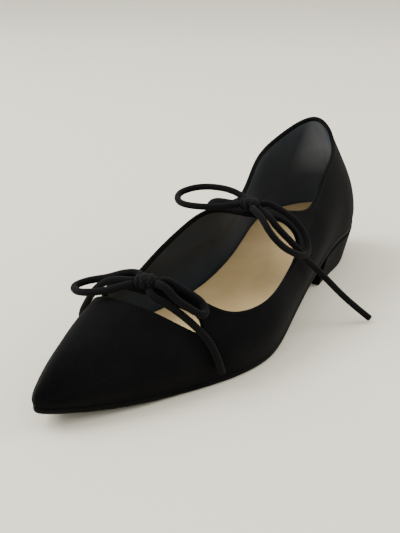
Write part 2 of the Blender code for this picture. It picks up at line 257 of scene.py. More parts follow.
# %% Insole and sole leather
def leather_material(name, dark, pale, grain, depth, cloud, **sockets):
    """Smooth leather: clouds of two colours, and grain. Sizes in mm."""
    material, tree, shader, place = start_material(name, **sockets)
    at = (place, "Object")
    colour = add_node(tree, "ShaderNodeMix", COLOUR_MIX, {
        "Factor": (add_clouds(tree, at, cloud), "Result"), "A": dark, "B": pale})
    dress_leather(tree, shader, at, colour, grain, depth)
    return material


insole_leather = leather_material(
    "beige insole leather, vegetable tanned", hex_colour("c7a872"), hex_colour("d9bd8a"),
    grain=1.3, depth=0.05, cloud=26.0, Roughness=0.55, IOR=1.5)
edge_leather = leather_material(
    "black sole leather, dyed and waxed", hex_colour("040404"), hex_colour("090909"),
    grain=1.6, depth=0.06, cloud=9.0, Roughness=0.6, IOR=1.45, Specular_IOR_Level=0.06)
print("leathers:", insole_leather.name, "and", edge_leather.name)

# %% Lining
# Painted shade: the lining's colour darkens from the quarters to the vamp.
LINING_VAMP_PAINTED_SHADE = hex_colour("2b3137")
LINING_QUARTER = hex_colour("464b50")
# Painted sheen: a paler colour high at the back of the heel, where a highlight falls.
LINING_PAINTED_SHEEN = hex_colour("999da1")
VAMP_SHADE_RUN = (-0.055, -0.015)     # m along the shoe: the quarters' grey ends, the vamp's painted shade starts
SHEEN_BACK = (-0.104, -0.115)     # m along the shoe, from no painted sheen to full
SHEEN_UP = (0.040, 0.058)         # m over the floor, from no painted sheen to full
LINING_CLOUD = (0.82, 0.82, 0.82, 1.0)      # what the darkest clouds leave of the colour
LINING_PATCH = 18.0             # mm, size of the clouds
LINING_GRAIN = 1.2              # mm
LINING_GRAIN_DEPTH = 0.05       # mm


def lining_material():
    """Smooth leather, darkened in the vamp by painted shade, with a painted sheen high at the back of the
    heel.
    """
    material, tree, shader, place = start_material(
        "lining leather, smooth, with painted shade and sheen", Roughness=0.5, IOR=1.5, Specular_IOR_Level=0.12)
    at = (place, "Object")
    split = add_node(tree, "ShaderNodeSeparateXYZ", None, {"Vector": at})
    vamp, back, up = [
        add_node(tree, "ShaderNodeMapRange", None, {
            "Value": (split, axis), "From Min": start, "From Max": end})
        for axis, (start, end) in (("X", VAMP_SHADE_RUN), ("X", SHEEN_BACK), ("Z", SHEEN_UP))]
    # Mask of the painted sheen: high at the back of the heel.
    sheen_mask = add_node(tree, "ShaderNodeMath", {"operation": 'MULTIPLY'}, {
        0: (back, "Result"), 1: (up, "Result")})
    # Painted shade: the grey of the quarters darkens to the vamp's near black.
    tones = add_node(tree, "ShaderNodeMix", COLOUR_MIX, {
        "Factor": (vamp, "Result"), "A": LINING_QUARTER, "B": LINING_VAMP_PAINTED_SHADE})
    with_sheen = add_node(tree, "ShaderNodeMix", COLOUR_MIX, {
        "Factor": (sheen_mask, "Value"), "A": (tones, "Result"), "B": LINING_PAINTED_SHEEN})
    clouds = add_clouds(tree, at, LINING_PATCH)
    colour = add_node(tree, "ShaderNodeMix", {**COLOUR_MIX, "blend_type": 'MULTIPLY'}, {
        "Factor": (clouds, "Result"), "A": (with_sheen, "Result"), "B": LINING_CLOUD})
    dress_leather(tree, shader, at, colour, LINING_GRAIN, LINING_GRAIN_DEPTH)
    return material


lining_leather = lining_material()
print("lining:", lining_leather.name)

# %% [markdown]
# ## Bow cord
# The bows are tied from a round black cord, three millimetres thick. A woven sheath of fine yarns crosses
# in diamonds. The pattern follows the cord, so it reads a UV map: U runs along the cord and V around it.

# %% Cord material
YARN = 1.4                  # mm, one diamond of the sheath along the cord, drawn coarse so that it shows
YARNS_AROUND = 6
YARN_DEPTH = 0.12 * MM
YARN_STRENGTH = 0.7
CORD_DARK = hex_colour("050506")
CORD_PALE = hex_colour("131314")


def cord_material():
    """Woven cord: two waves that wind opposite ways round the cord multiply into diamonds."""
    material, tree, shader, place = start_material(
        "black round cord, woven", Roughness=0.88, IOR=1.45, Specular_IOR_Level=0.08, Sheen_Weight=0.02,
        Sheen_Roughness=0.5)
    split = add_node(tree, "ShaderNodeSeparateXYZ", None, {"Vector": (place, "UV")})
    waves = []
    for hand in (1.0, -1.0):
        around = add_node(tree, "ShaderNodeMath", {"operation": 'MULTIPLY'}, {
            0: (split, "Y"), 1: hand * np.pi * YARNS_AROUND})
        along = add_node(tree, "ShaderNodeMath", {"operation": 'MULTIPLY_ADD'}, {
            0: (split, "X"), 1: np.pi / (YARN * MM), 2: (around, "Value")})
        wave = add_node(tree, "ShaderNodeMath", {"operation": 'SINE'}, {0: (along, "Value")})
        waves.append(add_node(tree, "ShaderNodeMath", {"operation": 'ABSOLUTE'}, {0: (wave, "Value")}))
    weave = add_node(tree, "ShaderNodeMath", {"operation": 'MULTIPLY'}, {
        0: (waves[0], "Value"), 1: (waves[1], "Value")})
    colour = add_node(tree, "ShaderNodeMix", COLOUR_MIX, {
        "Factor": (weave, "Value"), "A": CORD_DARK, "B": CORD_PALE})
    dress(tree, shader, colour, (weave, "Value"), YARN_DEPTH, YARN_STRENGTH)
    return material


cord_cloth = cord_material()
print("cord: diamonds of %.1f mm, %d round the cord" % (YARN, YARNS_AROUND))

# %% [markdown]
# ## Cords of the bows
# Each bow has two loops and two tails. A cord is a circle carried along a smooth curve through a few
# given points, which are those of the solids. The curve could be a Blender curve with a bevel, but a
# mesh gives it a UV map for the woven sheath and cleanly cut ends.

# %% Routes
CORD = 3 * MM
BOX_MIDDLE = np.array((124.83, 7.86, 0.0)) * MM     # the box's middle, measured from the heel back
# Columns: along from the heel back, across to the outer side, height over the floor, in mm
CORDS = {
    "vamp_loop_lateral": (
        (193.3, 12.5, 42.2), (191.7, 14.5, 42.1), (189.3, 20.2, 39.2), (187.3, 25.2, 36.2),
        (187.2, 29.6, 32.7), (190.8, 31.4, 31.6), (194.4, 28.0, 34.2), (196.4, 22.2, 38.2),
        (197.1, 16.2, 42.5), (196.9, 13.6, 42.4),
    ),
    "vamp_loop_medial": (
        (193.7, 4.1, 42.5), (192.2, 1.9, 42.6), (193.2, -4.8, 41.7), (194.2, -13.0, 38.4),
        (197.6, -19.8, 36.7), (203.2, -22.0, 36.0), (208.0, -17.5, 36.4), (208.6, -9.5, 37.9),
        (206.0, -2.4, 39.6), (202.3, 3.2, 41.5), (200.4, 4.9, 41.8),
    ),
    "vamp_tail_lateral": (
        (199.0, 11.7, 40.2), (200.3, 13.6, 39.1), (199.7, 17.4, 37.2), (196.9, 22.8, 33.3),
        (193.9, 28.9, 27.5), (191.5, 34.3, 20.8), (189.9, 37.7, 12.7), (188.3, 38.4, 6.9),
    ),
    "vamp_tail_medial": (
        (197.2, 3.3, 41.7), (197.5, 0.8, 41.4), (197.9, -7.6, 39.7), (197.6, -14.1, 35.9),
        (196.5, -19.4, 30.5), (195.0, -24.1, 24.6), (192.9, -28.8, 16.9), (190.8, -30.0, 9.3),
    ),
    "instep_loop_lateral": (
        (127.2, 16.6, 55.3), (129.0, 18.4, 55.2), (132.4, 23.6, 53.8), (136.0, 29.4, 50.0),
        (135.0, 35.4, 43.8), (129.2, 39.8, 38.8), (121.4, 41.2, 36.6), (115.6, 38.7, 39.4),
        (114.4, 34.4, 45.6), (115.8, 28.8, 51.0), (117.4, 23.2, 54.2), (118.7, 19.2, 55.6),
        (120.3, 17.2, 55.5),
    ),
    "instep_loop_medial": (
        (120.0, 9.1, 55.9), (118.3, 7.2, 56.2), (116.4, 1.0, 57.6), (116.6, -8.5, 58.4),
        (120.0, -17.5, 57.8), (127.0, -22.5, 55.8), (133.5, -18.5, 54.2), (135.2, -9.5, 54.0),
        (132.6, -0.5, 54.4), (128.8, 7.4, 55.4), (127.1, 9.2, 55.4),
    ),
    "instep_tail_lateral": (
        (123.9, 17.8, 54.1), (124.2, 20.2, 53.4), (126.2, 24.4, 52.4), (127.8, 28.8, 49.4),
        (126.0, 33.0, 44.6), (121.6, 36.2, 38.7), (115.4, 38.6, 31.6), (109.4, 42.8, 24.2),
        (103.4, 52.4, 12.6), (98.4, 64.6, 1.9),
    ),
    "instep_tail_medial": (
        (123.1, 7.8, 54.8), (123.0, 5.3, 54.5), (119.3, -10.0, 51.0), (117.1, -13.0, 45.6),
        (114.9, -14.7, 38.8), (113.0, -17.6, 30.8), (111.2, -19.2, 22.0),
    ),
}


# %% Smooth curves
def spline(knots, values, at):
    """Natural cubic spline: cubic pieces through the knots, with even slope and curvature across each."""
    step = np.diff(knots)
    rise = np.diff(values) / step
    system = np.eye(len(knots))
    bend = np.zeros(len(knots))
    inner = np.arange(1, len(step))
    system[inner, inner - 1] = step[:-1]
    system[inner, inner] = 2 * (step[:-1] + step[1:])
    system[inner, inner + 1] = step[1:]
    bend[1:-1] = 6 * np.diff(rise)
    bend = np.linalg.solve(system, bend)
    i = np.clip(np.searchsorted(knots, at) - 1, 0, len(step) - 1)
    after = at - knots[i]
    before = knots[i + 1] - at
    cubic = (bend[i] * before ** 3 + bend[i + 1] * after ** 3) / (6 * step[i])
    start = (values[i] / step[i] - bend[i] * step[i] / 6) * before
    end = (values[i + 1] / step[i] - bend[i + 1] * step[i] / 6) * after
    return cubic + start + end


def cord_line(route, step):
    """Even points, step apart, on a spline through a route's points, in the row frame."""
    points = np.array(route) * MM - BOX_MIDDLE
    knots = distances(points)
    at = np.linspace(0, knots[-1], round(knots[-1] / step) + 1)
    return np.stack([spline(knots, column, at) for column in points.T], -1)


# %% Tubes
TUBE_STEP = 0.7 * MM
TUBE_SIDES = 16
CUT_ROUND = 0.25 * MM       # how far a cut end is rounded
CUT_FACE = 0.8              # what its flat face keeps of the width


def tube_points(line, radius):
    """Circle carried along a line. The circle's frame is the tangent, and the direction in which the
    whole line is flattest, made square to it. The rings at both ends are drawn in for a cut, round edge."""
    tangent = unit(np.gradient(line, axis=0))
    flattest = np.linalg.svd(line - line.mean(0))[2][-1]
    side = unit(flattest - (tangent @ flattest)[:, None] * tangent)
    other = np.cross(tangent, side)
    last = len(line) - 1
    rows = np.concatenate([[0, 0], np.arange(1, last), [last, last]])
    size = np.concatenate([[CUT_FACE, 1], np.ones(last - 1), [1, CUT_FACE]]) * radius
    slide = np.concatenate([[0, 1], np.zeros(last - 1), [-1, 0]]) * CUT_ROUND
    turn = np.linspace(0, 2 * np.pi, TUBE_SIDES, endpoint=False)
    circle = side[rows, None] * np.cos(turn)[:, None] + other[rows, None] * np.sin(turn)[:, None]
    middle = line[rows] + tangent[rows] * slide[:, None]
    return middle[:, None] + circle * size[:, None, None]


def make_wound(name, points, along):
    """Closed grid of rings with a UV map: U is the distance along, V the share of a turn around."""
    rows, columns = points.shape[:2]
    quads = grid_quads(rows, columns, ring=True)[:, ::-1]
    ring = np.arange(columns)
    faces = quads.tolist() + [ring.tolist(), (ring + (rows - 1) * columns)[::-1].tolist()]
    mesh = bpy.data.meshes.new(name)
    mesh.from_pydata(points.reshape(-1, 3).tolist(), [], faces)
    mesh.shade_smooth()
    row, column = np.divmod(np.arange(len(quads)), columns)
    u = np.stack([along[row], along[row + 1], along[row + 1], along[row]], -1)
    v = np.stack([column + 1, column + 1, column, column], -1) / columns
    pairs = np.zeros((len(mesh.loops), 2))
    pairs[:u.size] = np.stack([u.ravel(), v.ravel()], -1)
    mesh.uv_layers.new(name="along and around").data.foreach_set("uv", pairs.ravel())
    return add_piece(name, mesh, cord_cloth)


def make_cord(name, route):
    """One loop or tail: its tube, its centre line and its length."""
    line = cord_line(route, TUBE_STEP)
    points = tube_points(line, CORD / 2)
    run = distances(line)
    along = np.concatenate([run[:1], run, run[-1:]])
    piece = make_wound("cord_" + name, points, along)
    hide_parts(name)
    return piece, line, run[-1]


cord_pieces = {name: make_cord(name, route) for name, route in CORDS.items()}
for name, (piece, line, length) in cord_pieces.items():
    print("%s: %.1f mm" % (name, length / MM))

# %% [markdown]
# ## Knots
# A bow's knot is the cord wound across its own strands. The lump is worked out as one closed surface: a
# barrel along the bow's axis whose radius swells and sinks in slanting ridges, as the turns of cord do.

# %% Knots
KNOT_HALF = np.array((4.6, 4.7, 3.1)) * MM      # half sizes: square to the bow's axis, along it, and up
KNOT_ROWS = 48
KNOT_SIDES = 64
KNOT_POLE = 1.54            # radians, just short of the poles, where a small cap closes the barrel
KNOT_TURNS = 1.5            # ridges counted along the barrel
RIDGE = 0.20                # depth of the groove between turns, share of the radius
RIDGE_ROUND = 0.7           # below 1, the turns are round and the grooves narrow
BARREL = 2.6                # above 2, the barrel's ends are fuller than a ball's
KNOTS = {                   # middle in mm from the heel back, and the bow's axis turned from +Y, in degrees
    "vamp_knot": ((196.6, 8.4, 42.3), 18.0),
    "instep_knot": ((123.4, 13.0, 55.4), 4.0),
}


def knot_points(middle, turned):
    """Barrel: at place v along the axis, from -1 to 1, the radius is (1 - |v|^p)^(1/p) less a groove.
    The groove deepens where the wave of v and of the angle, which slants the turns, comes near zero."""
    v = np.sin(np.linspace(-KNOT_POLE, KNOT_POLE, KNOT_ROWS + 1))[:, None]
    angle = np.linspace(0, 2 * np.pi, KNOT_SIDES, endpoint=False)[None, :]
    ridge = np.abs(np.cos(np.pi * KNOT_TURNS * v + angle / 2)) ** RIDGE_ROUND
    radius = (1 - np.abs(v) ** BARREL) ** (1 / BARREL) * (1 - RIDGE * (1 - ridge))
    local = np.stack(np.broadcast_arrays(radius * np.cos(angle), v, radius * np.sin(angle)), -1) * KNOT_HALF
    a = np.radians(turned)
    spin = np.array(((np.cos(a), -np.sin(a), 0), (np.sin(a), np.cos(a), 0), (0, 0, 1)))
    return local @ spin.T + np.array(middle) * MM - BOX_MIDDLE


def make_knot(name, middle, turned):
    """One knot: its lump, with the cord's weave running along the bow's axis."""
    points = knot_points(middle, turned)
    along = np.linspace(0, 2 * KNOT_HALF[1], len(points))
    piece = make_wound("cord_" + name, points, along)
    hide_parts(name)
    return piece


knot_pieces = {name: make_knot(name, *facts) for name, facts in KNOTS.items()}

# %% [markdown]
# ## The last
# A shoe is drawn over a last, the wooden form of a foot. Here the last is a function of two parameters:
# along, from heel to toe, and across, from the inner feather line over the crest to the outer one. The
# feather line is where the upper meets the sole. Every other surface of the shoe is read from it, so the
# suede, the lining, the rolled edges and the insole fit one another by themselves.

# %% Sizes of the last
LENGTH = 250 * MM
BALL_WIDTH = 66.6 * MM
INSTEP = 51.5 * MM          # height of the crest at the instep
SEAT = 18 * MM              # height of the seat over that of the ball
SOLE = 3 * MM               # thickness
SPRING = 6.4 * MM           # rise of the toe
SWING = 10 * MM             # swing of the middle line to the outer side
ARCH = 2.5 * MM             # how far the inner waist is drawn in
WALL = 1.8 * MM             # thickness of suede and lining together
INSOLE = 2.2 * MM           # thickness
GAP = 0.3 * MM              # between pieces that lie on each other
# Shares of LENGTH, of half BALL_WIDTH, of SWING, of ARCH and of INSTEP, then the exponents of the arch on
# the outer and the inner side: a smaller one makes the wall more upright
SECTION_COLUMNS = ("along", "half", "swing", "arch", "crest", "outer", "inner")
SECTIONS = np.array([
    (0.00, 0.750, 0.00, 0.0, 1.940, 0.60, 0.60),
    (0.10, 0.766, 0.00, 0.0, 1.940, 0.60, 0.60),
    (0.20, 0.780, 0.12, 0.2, 1.790, 0.60, 0.60),
    (0.36, 0.766, 0.68, 1.0, 1.107, 0.45, 0.43),
    (0.52, 0.870, 1.00, 0.8, 1.000, 0.60, 0.30),
    (0.62, 1.000, 0.95, 0.2, 0.918, 0.80, 0.42),
    (0.72, 0.980, 0.56, 0.0, 0.839, 0.88, 0.78),
    (0.82, 0.750, 0.17, 0.0, 0.709, 0.88, 0.88),
    (0.91, 0.515, -0.02, 0.0, 0.551, 0.88, 0.96),
    (1.00, 0.286, -0.255, 0.0, 0.360, 0.88, 1.06),
])
# Shares of LENGTH
SEAT_END = 0.20
BALL_START = 0.64
BALL_END = 0.76
HEEL_ROUND = 0.17           # length of the round in plan
TOE_ROUND = 0.16
TOE_DROP = 0.10             # length over which the top of the toe falls
HEEL_FORM = 0.5             # where the swell and the lean of the heel have faded out
# Side walls and toe
TOE_FACE = 0.42             # what the tip keeps of the toe's height
SIDE_BULGE = 2.5 * MM
BULGE_HEIGHT = 1.6          # above 1, the walls swell only low down
BULGE_SOFT = 1.5            # above 1, the swell starts and ends softly
# Back of the heel. Heights over the seat are shares of BACK_HEIGHT
BACK_HEIGHT = 50 * MM
BACK_TOP = 1.2              # over this height, the back leans and narrows no further
BACK_BULGE = 1.0 * MM
BULGE_END = 0.7             # height at which the back's swell ends
BACK_LEAN = 18 * MM         # forwards
INNER_LEAN = 5 * MM         # to the inner side
LEAN_START = 0.1            # height at which both leans start
LEAN_POWER = 1.2
COLLAR_IN = 0.34            # share of the width by which the heel narrows upwards
NARROW_START = 0.1
NARROW_POWER = 1.2
SLOPE_STEP = 0.002          # step of along and across for a normal


# %% The last as a function
def section(column, along):
    """Value of one column of the sections at a place along the last."""
    return spline(SECTIONS[:, 0], SECTIONS[:, SECTION_COLUMNS.index(column)], along)


def feather_height(along):
    """Height of the feather line: level seat, smooth fall through the waist, flat ball, toe spring."""
    fall = np.clip((along - SEAT_END) / (BALL_START - SEAT_END), 0, 1)
    rise = np.clip((along - BALL_END) / (1 - BALL_END), 0, 1)
    return SOLE + SEAT * (1 - fall ** 2 * (3 - 2 * fall)) + SPRING * rise ** 2


def last_point(along, across):
    """Point of the last. In each section, height goes with the sine and half width with a power of the
    cosine of the turn from the feather line to the crest; heel and toe close on quarter circles in plan.
    Over the seat, the heel narrows and leans forwards and to the inner side."""
    along, across = np.broadcast_arrays(np.asarray(along, float), np.asarray(across, float))
    heel = np.clip(1 - along / HEEL_ROUND, 0, 1)
    toe = np.clip((along - 1 + TOE_ROUND) / TOE_ROUND, 0, 1)
    ends = np.sqrt(1 - heel ** 2) * np.sqrt(1 - toe ** 2)
    drawn_in = np.where(across < 0, ARCH * section("arch", along), 0)
    half = (BALL_WIDTH / 2 * section("half", along) - drawn_in) * ends
    foot = feather_height(along)
    over_toe = np.clip((along - 1 + TOE_DROP) / TOE_DROP, 0, 1)
    drop = TOE_FACE + (1 - TOE_FACE) * np.sqrt(1 - over_toe ** 2)
    rise = (INSTEP * section("crest", along) - foot) * drop
    turn = (1 - np.abs(across)) * np.pi / 2
    up = np.sin(turn)
    swell = SIDE_BULGE * ends * np.sin(np.pi * np.clip(BULGE_HEIGHT * up, 0, 1)).clip(0) ** BULGE_SOFT
    boxy = np.where(across < 0, section("inner", along), section("outer", along))
    aside = half * np.clip(np.cos(turn), 0, 1) ** boxy + swell
    z = foot + rise * up
    height = np.clip((z - SEAT - SOLE) / BACK_HEIGHT, 0, BACK_TOP)
    heel_form = (1 - np.clip(along / HEEL_FORM, 0, 1)) ** 2
    narrow = 1 - COLLAR_IN * np.clip(height - NARROW_START, 0, None) ** NARROW_POWER * np.sqrt(heel_form)
    lean = np.clip(height - LEAN_START, 0, None) ** LEAN_POWER
    back = BACK_LEAN * lean - BACK_BULGE * np.sin(np.pi * np.clip(height / BULGE_END, 0, 1))
    x = LENGTH * along + back * heel_form
    middle = SWING * section("swing", along) - INNER_LEAN * lean * heel_form
    y = middle + np.sign(across) * aside * narrow
    return np.stack([x, y, z], -1)


def last_normal(along, across):
    """Outward direction: the cross product of small steps along and across, taken just inside both ends."""
    along = np.clip(along, SLOPE_STEP, 1 - SLOPE_STEP)
    ahead = last_point(along + SLOPE_STEP, across)
    behind = last_point(along - SLOPE_STEP, across)
    aside = last_point(along, across + SLOPE_STEP) - last_point(along, across - SLOPE_STEP)
    return unit(np.cross(ahead - behind, aside))


# %% [markdown]
# ## Where the upper is open
# Three lines cut the upper: the collar, the main opening between the straps, and the keyhole across the
# vamp. Each is written as a level, a number that is positive on the leather and negative in the hole.
# Cutting a net of triangles at level zero gives a cleaner edge than a Boolean, and needs no cutter.

# %% Opening lines
# Columns: along, share of LENGTH, and height over the floor, share of INSTEP
COLLAR = np.array([
    (-0.16, 2.000), (0.03, 1.580), (0.10, 1.400), (0.16, 1.260), (0.22, 1.165), (0.27, 1.075),
    (0.31, 0.975), (0.35, 0.915), (0.39, 0.930), (0.43, 0.975), (0.49, 1.070),
])
# Columns: across, then the rear and the front edge, shares of LENGTH
MAIN_OUTER = np.array([
    (0.00, 0.500, 0.764), (0.10, 0.492, 0.761), (0.20, 0.472, 0.757), (0.32, 0.455, 0.748),
    (0.44, 0.443, 0.734), (0.55, 0.440, 0.715), (0.61, 0.455, 0.692), (0.64, 0.485, 0.660),
    (0.66, 0.560, 0.560),
])
MAIN_INNER = np.array([
    (0.00, 0.500, 0.764), (0.20, 0.530, 0.757), (0.33, 0.562, 0.747), (0.42, 0.594, 0.737),
    (0.50, 0.622, 0.725), (0.57, 0.644, 0.711), (0.62, 0.664, 0.699), (0.64, 0.682, 0.682),
])
KEYHOLE_SIDE = np.array([
    (0.00, 0.7920, 0.8225), (0.20, 0.7865, 0.8170), (0.37, 0.7730, 0.8045), (0.53, 0.7540, 0.7860),
    (0.60, 0.7550, 0.7745), (0.64, 0.7640, 0.7640),
])


def collar_level(along, across):
    """Height of the collar line over the point, positive below the line."""
    x, _, z = np.moveaxis(last_point(along, across), -1, 0)
    under = INSTEP * spline(COLLAR[:, 0], COLLAR[:, 1], x / LENGTH) - z
    return np.where(x < COLLAR[-1, 0] * LENGTH, under, 1.0)


MAIN_OPENING = (MAIN_OUTER, MAIN_INNER)
KEYHOLE = (KEYHOLE_SIDE, KEYHOLE_SIDE)


def opening_edges(opening, turn):
    """Rear and front edge of an opening. The turn is the arcsine of across over the opening's reach on that
    side, so that the two edges run into each other in one round end."""
    outer, inner = opening
    rows = np.concatenate([inner[:0:-1], outer])
    inner_turn = -np.arcsin(inner[:0:-1, 0] / inner[-1, 0])
    knots = np.concatenate([inner_turn, np.arcsin(outer[:, 0] / outer[-1, 0])])
    return spline(knots, rows[:, 1], turn), spline(knots, rows[:, 2], turn)


def opening_reach(opening, side):
    """How far the opening goes down, as a value of across, on the outer (side > 0) or the inner side."""
    outer, inner = opening
    return np.where(side < 0, inner[-1, 0], outer[-1, 0])


def opening_level(opening):
    """Level of an opening: how far a point lies behind its rear edge or before its front edge."""
    def level(along, across):
        share = across / opening_reach(opening, across)
        rear, front = opening_edges(opening, np.arcsin(np.clip(share, -1, 1)))
        return np.where(np.abs(share) < 1, np.maximum(rear - along, along - front), 1.0)

    return level


# %% Cutting a net of triangles
BISECTIONS = 24


def cut_net(flat, faces, level):
    """Keeps the part of a net where level > 0. flat holds (along, across) for each point. A triangle that
    crosses zero is cut where its edges do, found by halving."""
    keep = level(*flat.T) > 0
    count = keep[faces].sum(1)
    cut = faces[(count == 1) | (count == 2)]
    alone = keep[cut].sum(1) == 1
    odd = np.where(alone, keep[cut].argmax(1), (~keep[cut]).argmax(1))
    cut = np.take_along_axis(cut, (odd[:, None] + np.arange(3)) % 3, 1)
    edges = np.sort(np.concatenate([cut[:, [0, 1]], cut[:, [0, 2]]]), 1)
    edges, which = np.unique(edges, axis=0, return_inverse=True)
    start, end = flat[edges[:, 0]], flat[edges[:, 1]]
    low, high = np.zeros(len(edges)), np.ones(len(edges))
    for _ in range(BISECTIONS):
        middle = (low + high) / 2
        same = (level(*(start + (end - start) * middle[:, None]).T) > 0) == keep[edges[:, 0]]
        low, high = np.where(same, middle, low), np.where(same, high, middle)
    fresh = start + (end - start) * low[:, None]
    first, second = (len(flat) + which.ravel()).reshape(2, -1)
    tips = np.stack([cut[:, 0], first, second], -1)[alone]
    near = np.stack([first, cut[:, 1], cut[:, 2]], -1)[~alone]
    far = np.stack([first, cut[:, 2], second], -1)[~alone]
    faces = np.concatenate([faces[count == 3], tips, near, far])
    used, faces = np.unique(faces, return_inverse=True)
    return np.concatenate([flat, fresh])[used], faces.reshape(-1, 3)


# %% [markdown]
# ## The upper
# Suede outside and lining inside are two thin shells of the same net. The suede is laid on the last, and
# the lining lies under it. The soft creases, at the ball where the foot bends and beside the instep strap,
# are listed one by one.

# %% Net of the upper
NET_ALONG = 190
NET_ACROSS = 150
CREST_CROWD = 1.25          # above 1, columns lie closer at the crest, where the arch spreads fastest


def upper_net():
    """Triangles over the whole last in (along, across), cut at the three opening lines."""
    along = crowd_ends(NET_ALONG)
    even = np.linspace(-1, 1, NET_ACROSS + 1)
    across = np.sign(even) * np.abs(even) ** CREST_CROWD
    flat = np.stack(np.meshgrid(along, across, indexing="ij"), -1).reshape(-1, 2)
    faces = split_quads(grid_quads(NET_ALONG + 1, NET_ACROSS + 1))
    for level in (collar_level, opening_level(MAIN_OPENING), opening_level(KEYHOLE)):
        flat, faces = cut_net(flat, faces, level)
    return flat, faces


net, net_faces = upper_net()
print("net of the upper: %d triangles" % len(net_faces))

# %% Creases
# Columns: along and across of the crease's middle, its half length and half width in mm, its turn from
# the shoe's length in degrees, and its height in mm, negative for a trough
CREASES = (
    (0.705, 0.80, 13.0, 2.6, 70.0, -0.35),
    (0.735, 0.79, 12.0, 2.4, 66.0, 0.22),
    (0.690, -0.80, 12.0, 2.6, 110.0, -0.30),
    (0.380, 0.72, 14.0, 3.0, 60.0, -0.25),
    (0.370, -0.70, 14.0, 3.0, 120.0, -0.25),
)
CREASE_STEP = 0.01          # step of along and across for a crease's directions


def crease_height(along, across):
    """Sum of soft ridges and troughs: each a bell along and across its own line on the last."""
    point = last_point(along, across)
    total = np.zeros(np.shape(along))
    for place, side, half_length, half_width, turned, height in CREASES:
        middle = last_point(place, side)
        forward = unit(last_point(place + CREASE_STEP, side) - last_point(place - CREASE_STEP, side))
        step = np.sign(side) * CREASE_STEP
        down = last_point(place, side + step) - last_point(place, side - step)
        down = unit(down - forward * (down @ forward))
        a = np.radians(turned)
        run = forward * np.cos(a) + down * np.sin(a)
        off = down * np.cos(a) - forward * np.sin(a)
        arm = point - middle
        bell = ((arm @ run) / (half_length * MM)) ** 2 + ((arm @ off) / (half_width * MM)) ** 2
        total += height * MM * np.exp(-bell)
    return total


# %% Suede and lining
SUEDE = 0.9 * MM
LINING = 0.85 * MM


def weld_net(points, faces, normal):
    """Joins points that coincide, as along the seams at heel and toe, and averages their normals."""
    _, first, group = np.unique(np.round(points / WELD), axis=0, return_index=True, return_inverse=True)
    group = group.ravel()
    normal = np.stack([np.bincount(group, weights=column) for column in normal.T], -1)
    faces = group[faces]
    whole = (faces != np.roll(faces, 1, 1)).all(1)
    return points[first], faces[whole], unit(normal)


def make_shell(name, depth, thickness, material):
    """The net laid at a depth under the last's surface, a second net under it, and a rim between them
    along every open edge. The last's own normals give a clean shading where triangles are thin."""
    along, across = net.T
    normal = last_normal(along, across)
    skin = last_point(along, across) + normal * (crease_height(along, across) - depth)[:, None]
    skin, faces, normal = weld_net(skin - BOX_MIDDLE, net_faces, normal)
    count = len(skin)
    edges = faces[:, [0, 1, 1, 2, 2, 0]].reshape(-1, 2)
    back_edges = edges[:, 1] * count + edges[:, 0]
    start, end = edges[~np.isin(edges[:, 0] * count + edges[:, 1], back_edges)].T
    rim = np.concatenate([
        np.stack([end, start, start + count], -1),
        np.stack([end, start + count, end + count], -1)])
    mesh = bpy.data.meshes.new(name)
    points = np.concatenate([skin, skin - normal * thickness])
    faces = np.concatenate([faces, faces[:, ::-1] + count, rim])
    mesh.from_pydata(points.tolist(), [], faces.tolist())
    mesh.shade_smooth()
    mesh.normals_split_custom_set_from_vertices(np.concatenate([normal, -normal]).tolist())
    return add_piece(name, mesh, material)


suede_upper = make_shell("suede_upper", 0.0, SUEDE, suede)
make_shell("lining", WALL - LINING, LINING, lining_leather)
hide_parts("upper")

# %% [markdown]
# ## Rolled edges
# Along every opening the suede is turned over the lining's edge, which shows as a thin soft roll. A
# rounded profile is carried along each opening line. Its frame is the last's own normal and the direction
# in the surface away from the hole.

# %% Lines of the openings
ROLL_STEP = 0.9 * MM
LINE_POINTS = 600
NORMAL_ROUNDS = 3           # of smoothing
COLLAR_FRONT = 0.40         # a place along that lies behind the collar's front end
FRONT_BISECTIONS = 40       # more, because the collar's two sides meet there


def even_loop(along, across):
    """Closed line on the last at even steps: points and normals, in the last's frame."""
    points = last_point(along, across)
    normal = last_normal(along, across)
    points, normal = (np.concatenate([a, a[:1]]) for a in (points, normal))
    run = distances(points)
    at = np.linspace(0, run[-1], round(run[-1] / ROLL_STEP), endpoint=False)
    points, normal = (
        np.stack([np.interp(at, run, column) for column in a.T], -1) for a in (points, normal))
    for _ in range(NORMAL_ROUNDS):
        normal = unit(np.roll(normal, 1, 0) + 2 * normal + np.roll(normal, -1, 0))
    return points, normal


def opening_line(opening):
    """Rear edge from the inner to the outer end, then the front edge back."""
    turn = np.linspace(-np.pi / 2, np.pi / 2, LINE_POINTS)
    rear, front = opening_edges(opening, turn)
    across = opening_reach(opening, turn) * np.sin(turn)
    return even_loop(np.concatenate([rear, front[-2:0:-1]]), np.concatenate([across, across[-2:0:-1]]))


def collar_line():
    """Collar: at each station, the across value at level zero, found by halving; then the other side."""
    low, high = COLLAR_FRONT, COLLAR[-1, 0]
    for _ in range(FRONT_BISECTIONS):
        middle = (low + high) / 2
        low, high = (middle, high) if collar_level(middle, 0.0) < 0 else (low, middle)
    along = low * crowd_ends(LINE_POINTS - 1)
    inner, outer = np.zeros_like(along), np.ones_like(along)
    for _ in range(BISECTIONS):
        middle = (inner + outer) / 2
        below = collar_level(along, middle) > 0
        inner, outer = np.where(below, inner, middle), np.where(below, middle, outer)
    return even_loop(np.concatenate([along, along[-2:0:-1]]), np.concatenate([outer, -outer[-2:0:-1]]))


# %% Rolls
ROLL_HALF_WIDTH = 1.15 * MM
ROLL_HALF_THICK = 1.10 * MM
ROLL_OUT = 0.30 * MM        # the roll reaches this far over the cut edge
ROLL_FULL = 2.7             # above 2, the profile is fuller than an ellipse
ROLL_SIDES = 18


